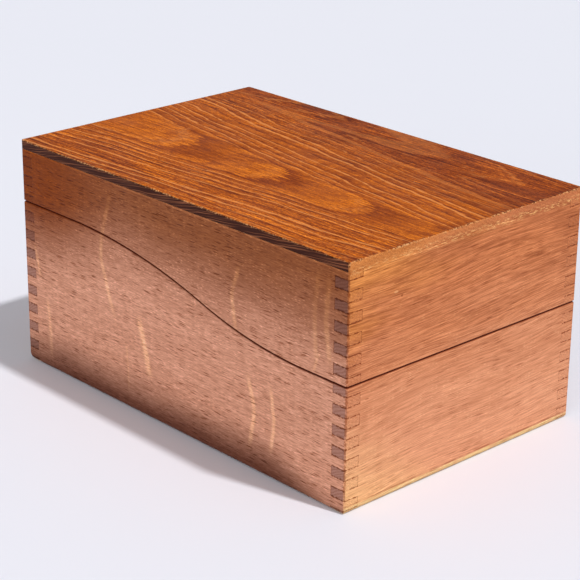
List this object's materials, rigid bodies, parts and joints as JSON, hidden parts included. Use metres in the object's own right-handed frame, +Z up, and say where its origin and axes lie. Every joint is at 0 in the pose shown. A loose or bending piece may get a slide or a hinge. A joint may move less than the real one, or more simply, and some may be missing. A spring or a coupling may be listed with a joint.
{
  "type": "recipe card box",
  "caption": "Finger-jointed wooden card box whose hinged lid parts from the base along an S-curve, with a leaning follower that slides on a rail inside.",
  "frame": {"origin": "middle of the case's footprint, on the underside that it rests on", "axes": "-Y towards the front, +Y towards the hinges at the back, +X to the right as seen from the front, +Z up"},
  "size_m": [0.146, 0.224, 0.113],
  "materials": {
    "lengthwise_oak": "satin varnished quartersawn oak, stained",
    "end_oak": "satin varnished oak, stained",
    "top_oak": "satin varnished flat-sawn oak, stained",
    "bottom_oak": "thin varnish on oak",
    "follower_oak": "satin varnished oak, stained",
    "hinge_brass": "aged brass",
    "plated_steel": "dull plated steel",
    "spring_steel": "blued spring steel"
  },
  "bodies": {
    "base": {"base_front": "end_oak", "base_back": "end_oak", "base_left": "lengthwise_oak", "base_right": "lengthwise_oak", "base_bottom": "bottom_oak", "hinge_left_base_leaf": "hinge_brass", "hinge_right_base_leaf": "hinge_brass", "hinge_left_pin": "hinge_brass", "hinge_right_pin": "hinge_brass", "base_hinge_screws": "hinge_brass", "follower_rail": "plated_steel", "follower_rail_screws": "plated_steel"},
    "lid": {"lid_front": "end_oak", "lid_back": "end_oak", "lid_left": "lengthwise_oak", "lid_right": "lengthwise_oak", "lid_top": "top_oak", "hinge_left_lid_leaf": "hinge_brass", "hinge_right_lid_leaf": "hinge_brass", "lid_hinge_screws": "hinge_brass"},
    "follower": {"follower_board": "follower_oak", "follower_saddle": "plated_steel", "follower_upright": "plated_steel", "follower_spring": "spring_steel", "follower_rivets": "plated_steel"}
  },
  "joints": [
    {"name": "lid_hinge", "type": "hinge", "parent": "base", "child": "lid", "pos_m": [0, 0.1107, 0.0824], "axis": [-1, 0, 0], "range_deg": [0, 100]},
    {"name": "follower_slide", "type": "slide", "parent": "base", "child": "follower", "axis": [0, -1, 0], "range_m": [0, 0.17]}
  ]
}
